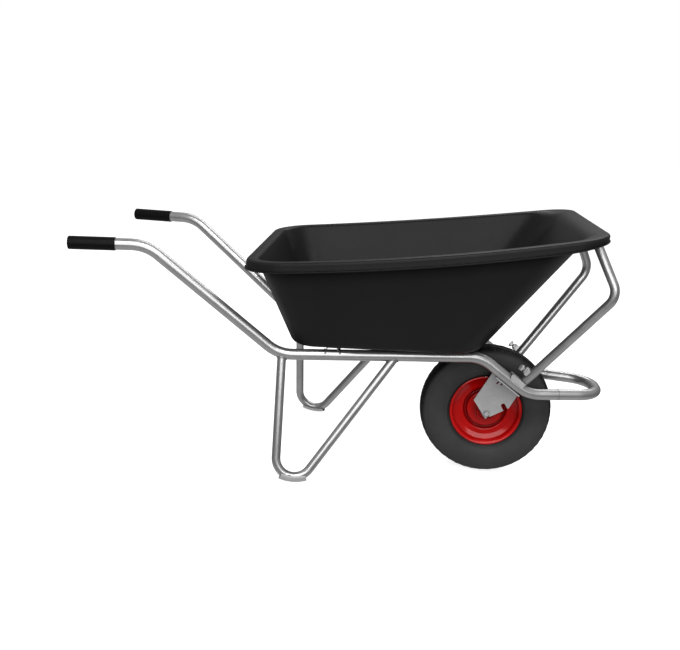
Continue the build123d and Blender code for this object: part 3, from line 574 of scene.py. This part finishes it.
def rounded_section(points, radii, count):
    corners = [np.array(p, float) for p in points]
    reaches = [0.0]
    for i in range(1, len(corners) - 1):
        back, ahead = corners[i - 1] - corners[i], corners[i + 1] - corners[i]
        reaches.append(float(fillet_reach(corners[i], back, ahead, radii[i])))
    reaches.append(0.0)
    counts = [0] + [count if radii[i] > 0 else 1 for i in range(1, len(corners) - 1)] + [0]
    return [tuple(row) for row in rounded_path(corners, reaches, counts)]


def offset_section(line, distance):
    line = np.array(line, float)
    along = unit(np.gradient(line, axis=0))
    return line + np.stack([-along[:, 1], along[:, 0]], -1) * distance


def build_rim(side, name, node):
    """Pressed rim half: rolled lip, bead seat, stepped dish and hub boss, in even sheet."""
    # (radius, y) along the middle of the sheet, from the lip in to the hub boss
    line = [(108.3, 33.6), (109.4, 35.6), (106.5, 37.0), (101.6, 34.0), (98.6, 17.0), (83.5, 11.2),
            (68.5, 10.4), (63.0, 1.9), (58.0, 1.9), (53.5, 12.6), (29.0, 13.4), (26.2, 15.5)]
    radii = [0, 1.2, 2.2, 5.0, 5.0, 5.0, 4.0, 2.6, 2.6, 4.0, 2.0, 0]
    middle = np.array(rounded_section(line, radii, 7))
    outer, inner = offset_section(middle, SHEET_HALF), offset_section(middle, -SHEET_HALF)
    rows = [(r, y * side) for r, y in np.vstack([outer, inner[::-1]])]
    vertices = lathe(rows, RIM_SEGMENTS)
    faces = grid_faces(len(rows), RIM_SEGMENTS, True, True)
    rim = mesh_object(name, vertices, faces, "wheel", [RIM_RED], 50.0)
    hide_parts(node)


build_rim(1, "rim_left_pressing", "left_rim_half")
build_rim(-1, "rim_right_pressing", "right_rim_half")


# Raised and sunk rings moulded round each sidewall: radius, width and height
SIDEWALL_RINGS = ((118.5, 1.6, 0.9), (171.5, 1.1, 0.7), (176.0, 0.9, 0.5), (124.5, 1.4, -0.5))
GROOVES = ((22.0, 2.5), (0.0, 2.5), (-22.0, 2.5))  # y of each tread groove and half its width
GROOVE_DEPTH, SIPE_DEPTH = 4.5, 1.6


def build_tyre():
    """Tyre with moulded rings on its sidewalls, three zigzag grooves and notched shoulders."""
    block = TYRE_SEGMENTS // TREAD_BLOCKS
    within_block = np.arange(TYRE_SEGMENTS) % block
    zigzag = 1.6 * (4 * np.abs(within_block / block - 0.5) - 1)
    sipe_here = (within_block < 1).astype(float)
    centre_x, centre_y, side_r = circle_through((110, 35), (150, 51), (181, 46.5))
    start = math.atan2(35 - centre_y, 110 - centre_x)
    end = math.atan2(46.5 - centre_y, 181 - centre_x)
    side = []
    for angle in np.linspace(start, end, 64):
        radius = centre_x + side_r * math.cos(angle)
        rings = [
            height * math.exp(-(((radius - place) / width) ** 2))
            for place, width, height in SIDEWALL_RINGS
        ]
        reach = side_r + sum(rings)
        side.append((centre_x + reach * math.cos(angle), centre_y + reach * math.sin(angle)))
    crown_x, crown_y, crown_r = circle_through((189, 41), (TYRE_R, 0), (189, -41))
    stations = {43.2, 42.2, 41.0, 39.0, 36.0, 33.0, 30.0, 28.0, 26.5}
    for middle, half in GROOVES:
        stations |= {middle + half + 0.9, middle + half, middle + half - 0.7, middle}
        stations |= {middle - half + 0.7, middle - half, middle - half - 0.9}
    stations |= {-s for s in stations}
    stations |= {5.5, 8.0, 11.0, 14.0, 16.5, -5.5, -8.0, -11.0, -14.0, -16.5}
    crown = []
    for y in sorted(stations, reverse=True):
        flat = math.sqrt(max(crown_r**2 - (y - crown_y) ** 2, 0.0)) + crown_x
        radius = flat - 1.6 * smoothstep(40.0, 43.5, abs(y))
        depth = 0.0
        for middle, half in GROOVES:
            outside = float(smoothstep(half - 0.7, half + 0.1, abs(y - middle)))
            depth = max(depth, GROOVE_DEPTH * (1 - outside))
        shift = zigzag * (1 - float(smoothstep(27.0, 33.0, abs(y))))
        ribs = float(smoothstep(26.5, 28.0, abs(y)) * (1 - smoothstep(36.0, 38.0, abs(y))))
        crown.append((radius - depth - SIPE_DEPTH * sipe_here * ribs, y + shift))
    mirrored = [(r, -y) for r, y in reversed(side)]
    base = [(102.5, -34.0), (102.5, 34.0)]
    left, right = [(105.5, 34.9)] + side + [(185.6, 44.4)], [(185.6, -44.4)] + mirrored
    rows = left + crown + right + [(105.5, -34.9)] + base
    vertices = lathe(rows, TYRE_SEGMENTS)
    faces = grid_faces(len(rows), TYRE_SEGMENTS, True, True)
    tyre = mesh_object("tyre_casing", vertices, faces, "wheel", [TYRE_GREY], 38.0)
    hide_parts("tyre")


build_tyre()


# --- Weld beads ----------------------------------------------------------------------------------
def route(points, bend, step):
    """Dense points of straight runs joined by tangent bends."""
    corners = [np.array(p, float) for p in points]
    dense = [corners[0]]
    for i in range(1, len(corners) - 1):
        back, ahead = corners[i - 1] - corners[i], corners[i + 1] - corners[i]
        reach = float(fillet_reach(corners[i], back, ahead, bend))
        dense += arc_between(corners[i], back, ahead, reach, 24)
    dense.append(corners[-1])
    filled = []
    for a, b in zip(dense, dense[1:]):
        count = max(1, int(np.linalg.norm(b - a) / step))
        filled += [a + (b - a) * k / count for k in range(count)]
    return np.array(filled + [dense[-1]])


WELD_RIPPLE, WELD_AROUND = 3.0, 12


def weld_bead(name, path, radius, closed=False):
    """Rippled bead of weld metal along a path."""
    path = np.array(path, float)
    if closed:
        path = np.vstack([path, path[:1]])
    lengths = np.concatenate([[0], np.cumsum(np.linalg.norm(np.diff(path, axis=0), axis=1))])
    count = max(8, int(lengths[-1] / 0.8))
    where = np.linspace(0, lengths[-1], count, endpoint=not closed)
    centre = np.stack([np.interp(where, lengths, path[:, k]) for k in range(3)], -1)
    if closed:
        along = unit(np.roll(centre, -1, 0) - np.roll(centre, 1, 0))
    else:
        along = unit(np.gradient(centre, axis=0))
    random = np.random.default_rng(1)
    knots = max(4, count // 6)
    lumps = np.interp(
        where, np.linspace(0, lengths[-1], knots), random.uniform(-0.12, 0.12, knots)
    )
    size = radius * (1 + 0.13 * np.abs(np.sin(math.pi * where / WELD_RIPPLE)) + lumps)
    if not closed:
        size *= np.sqrt(np.clip(np.minimum(where, lengths[-1] - where) / 2.5, 0.06, 1))
    helper = np.array([0.31, 0.52, 0.79])
    side = unit(np.cross(along, helper))
    up = np.cross(side, along)
    rings = []
    for k in range(WELD_AROUND):
        turn = 2 * math.pi * k / WELD_AROUND
        rings.append(centre + (side * math.cos(turn) + up * math.sin(turn)) * size[:, None])
    vertices = np.stack(rings, 1).reshape(-1, 3)
    faces = grid_faces(count, WELD_AROUND, closed, True)
    if not closed:
        last = (count - 1) * WELD_AROUND
        faces.append(tuple(range(WELD_AROUND)))
        faces.append(tuple(reversed(range(last, last + WELD_AROUND))))
    return mesh_object(name, vertices, faces, "frame_and_tray", [WELD_ZINC], 60.0)


def distance_to(points, path):
    return np.min(np.linalg.norm(points[:, None, :] - path[None], axis=-1), axis=1)


def tube_meets(path, root, direction, radius, main_r, start):
    """Curve where a round tube that ends at root meets the outside of a bent tube."""
    direction = unit(np.array(direction, float))
    side = unit(np.cross(direction, (0.2, 0.9, 0.1)))
    up = np.cross(side, direction)
    turn = np.linspace(0, 2 * math.pi, 48, endpoint=False)
    circle = np.cos(turn)[:, None] * side + np.sin(turn)[:, None] * up
    rim = np.array(root, float) + radius * circle
    inner, outer = np.zeros(len(turn)), np.full(len(turn), float(start))
    for _ in range(24):
        middle = (inner + outer) / 2
        clear = distance_to(rim + direction * middle[:, None], path) > main_r
        outer, inner = np.where(clear, middle, outer), np.where(clear, inner, middle)
    return rim + direction * outer[:, None]


def both_sides(points):
    points = np.array(points, float)
    return ("left", points), ("right", points * np.array([1, -1, 1]))


CHASSIS_CORNERS = (GRIP_END, HANDLE_CORNER, RAIL_REAR, RAIL_FRONT, FORK_CORNER, LOOP_WELD)
CHASSIS = route(CHASSIS_CORNERS, MAIN_BEND, 0.5)
for end_name, top in (("rear", LEG_REAR_TOP), ("front", LEG_FRONT_TOP)):
    down = np.array(LEG_FOOT, float) - np.array(top, float)
    curve = tube_meets(CHASSIS[::2], top, down, LEG_R, MAIN_R, 70)
    for side_name, points in both_sides(curve):
        weld_bead(f"weld_leg_{end_name}_{side_name}", points, 2.4, closed=True)

loop_along = unit(np.array(LOOP_WELD, float) - np.array(FORK_CORNER, float))
loop_side = unit(np.cross(loop_along, (0, 0, 1)))
loop_up = np.cross(loop_side, loop_along)
turns = np.linspace(0, 2 * math.pi, 60, endpoint=False)
seam = np.array(LOOP_WELD, float) + (MAIN_R - 0.4) * (
    np.cos(turns)[:, None] * loop_side + np.sin(turns)[:, None] * loop_up
)
for side_name, points in both_sides(seam):
    weld_bead(f"weld_loop_{side_name}", points, 1.1, closed=True)

rail_run = np.array(RAIL_FRONT, float) - np.array(RAIL_REAR, float)
rail = unit(rail_run)
rail_out = unit(np.cross(rail, (0, 0, 1)))
if rail_out[1] < 0:
    rail_out = -rail_out
rail_up = np.cross(rail_out, rail)
if rail_up[2] < 0:
    rail_up = -rail_up
for bar_name, bar_x in (("rear", CROSSBAR_X[0]), ("front", CROSSBAR_X[1])):
    for edge_name, shift in (("back", -CROSSBAR_HALF - 1), ("fore", CROSSBAR_HALF + 1)):
        share = (bar_x + shift - RAIL_REAR[0]) / (RAIL_FRONT[0] - RAIL_REAR[0])
        centre = np.array(RAIL_REAR, float) + share * rail_run
        sweep = np.radians(np.linspace(24, 150, 30))
        circle = np.cos(sweep)[:, None] * rail_out + np.sin(sweep)[:, None] * rail_up
        arc = centre + (MAIN_R + 0.3) * circle
        for side_name, points in both_sides(arc):
            weld_bead(f"weld_{bar_name}_bar_{edge_name}_{side_name}", points, 2.0)


# --- Edge breaks on the sheet-metal pieces and fasteners -----------------------------------------
def break_edges(node, width):
    cad = NODES[node]
    weld = cad.modifiers.new("weld", "WELD")
    weld.merge_threshold = 0.00001
    bevel = cad.modifiers.new("edge_break", "BEVEL")
    bevel.width = width * MM
    bevel.segments = 2
    bevel.limit_method = "ANGLE"
    bevel.angle_limit = math.radians(38.0)
    bevel.harden_normals = True


for hand in ("left", "right"):
    break_edges(f"{hand}_axle_plate", 0.7)
    break_edges(f"{hand}_hoop_bracket", 0.6)
    break_edges(f"{hand}_clamp_boss", 0.9)
    break_edges(f"{hand}_clamp_lock_nut", 0.6)
    break_edges(f"{hand}_clamp_bolt", 0.6)
    break_edges(f"{hand}_axle_bolt", 0.5)
for bar in ("rear_crossbar", "front_crossbar"):
    break_edges(bar, 0.6)


# --- Stage, light and camera ---------------------------------------------------------------------
def stage_floor():
    """White floor, lit enough of its own to stay white in every view."""
    mesh = bpy.data.meshes.new("studio_floor")
    reach = 30.0
    corners = [(-reach, -reach, 0), (reach, -reach, 0), (reach, reach, 0), (-reach, reach, 0)]
    mesh.from_pydata(corners, [], [(0, 1, 2, 3)])
    floor = bpy.data.objects.new("studio_floor", mesh)
    SCENE.collection.objects.link(floor)
    material = bpy.data.materials.new("studio_floor")
    material.use_nodes = True
    shader = material.node_tree.nodes["Principled BSDF"]
    shader.inputs["Base Color"].default_value = (0.6, 0.6, 0.6, 1.0)
    shader.inputs["Emission Color"].default_value = (1.0, 1.0, 1.0, 1.0)
    shader.inputs["Emission Strength"].default_value = 0.8
    shader.inputs["Roughness"].default_value = 0.9
    shader.inputs["Specular IOR Level"].default_value = 0.1
    mesh.materials.append(material)
    quiet(floor)


def stage_dome():
    """White surroundings behind the object in every view."""
    bm = bmesh.new()
    bmesh.ops.create_uvsphere(bm, u_segments=48, v_segments=24, radius=28.0)
    mesh = bpy.data.meshes.new("studio_dome")
    bm.to_mesh(mesh)
    bm.free()
    dome = bpy.data.objects.new("studio_dome", mesh)
    SCENE.collection.objects.link(dome)
    material = bpy.data.materials.new("studio_dome")
    material.use_nodes = True
    shader = material.node_tree.nodes["Principled BSDF"]
    shader.inputs["Base Color"].default_value = (0.0, 0.0, 0.0, 1.0)
    shader.inputs["Specular IOR Level"].default_value = 0.0
    shader.inputs["Emission Color"].default_value = (1.0, 1.0, 1.0, 1.0)
    shader.inputs["Emission Strength"].default_value = 1.0
    mesh.materials.append(material)
    quiet(dome)


def quiet(obj):
    """Stage piece that is seen but neither lights the object nor shows in its gloss."""
    obj.visible_diffuse = False
    obj.visible_glossy = False
    obj.visible_transmission = False
    obj.visible_shadow = False


stage_floor()
stage_dome()


def soft_light(name, place, target, size, power):
    light = bpy.data.lights.new(name, "AREA")
    light.shape = "RECTANGLE"
    light.size, light.size_y = size
    light.energy = power
    lamp = bpy.data.objects.new(name, light)
    lamp.location = place
    lamp.rotation_mode = "QUATERNION"
    lamp.rotation_quaternion = (Vector(target) - Vector(place)).to_track_quat("-Z", "Y")
    SCENE.collection.objects.link(lamp)


soft_light("front_panel", (0.2, -3.2, 1.5), (0.1, 0, 0.4), (4.0, 1.6), 70)
soft_light("key", (0.2, -2.3, 3.3), (0.1, 0, 0.4), (3.4, 0.8), 84)
soft_light("sparkle", (0.3, -2.6, 3.0), (0.3, 0, 0.3), (0.16, 0.16), 9)
soft_light("back_strip", (0.9, 2.4, 2.6), (0.3, 0, 0.5), (2.4, 0.4), 20)
soft_light("back_fill", (0.3, 2.3, 3.9), (0.1, 0, 0.4), (3.4, 0.9), 44)

# Light from all round: bright below and above, darker in a band about the horizon
world = bpy.data.worlds.new("studio")
SCENE.world = world
world.use_nodes = True
world_tree = world.node_tree
background = world_tree.nodes["Background"]
direction = world_tree.nodes.new("ShaderNodeTexCoord")
parts = world_tree.nodes.new("ShaderNodeSeparateXYZ")
world_tree.links.new(direction.outputs["Generated"], parts.inputs["Vector"])
height = add_range(world_tree, parts.outputs["Z"], 0.0, 1.0)
world_tree.nodes[-1].inputs["From Min"].default_value = -1.0
sky_stops = (
    (0.0, 0.62), (0.2, 0.60), (0.33, 0.16), (0.47, 0.18), (0.64, 0.26), (0.8, 0.5), (1.0, 0.5)
)
sky = add_ramp(world_tree, height, sky_stops)
world_tree.links.new(sky, background.inputs["Color"])
background.inputs["Strength"].default_value = 1.0
SCENE.view_settings.view_transform = "Standard"
SCENE.view_settings.look = "None"

CAMERA_PLACE = Vector((0.0718, -2.5801, 1.0760))
AZIMUTH, ELEVATION, ROLL = math.radians(2.3106), math.radians(14.7311), math.radians(7.1523)
LENS, SENSOR = 46.27, 36.0

level = math.cos(ELEVATION)
back = Vector((math.sin(AZIMUTH) * level, -math.cos(AZIMUTH) * level, math.sin(ELEVATION)))
level_right = Vector((math.cos(AZIMUTH), math.sin(AZIMUTH), 0))
level_up = level_right.cross(-back)
right = level_right * math.cos(ROLL) + level_up * math.sin(ROLL)
up = -level_right * math.sin(ROLL) + level_up * math.cos(ROLL)
camera_data = bpy.data.cameras.new("camera")
camera_data.sensor_width = SENSOR
camera_data.lens = LENS
camera_data.clip_end = 100
camera = bpy.data.objects.new("camera", camera_data)
turn = Matrix((right, up, back)).transposed().to_4x4()
camera.matrix_world = Matrix.Translation(CAMERA_PLACE) @ turn
SCENE.collection.objects.link(camera)
SCENE.camera = camera

bpy.context.view_layer.update()
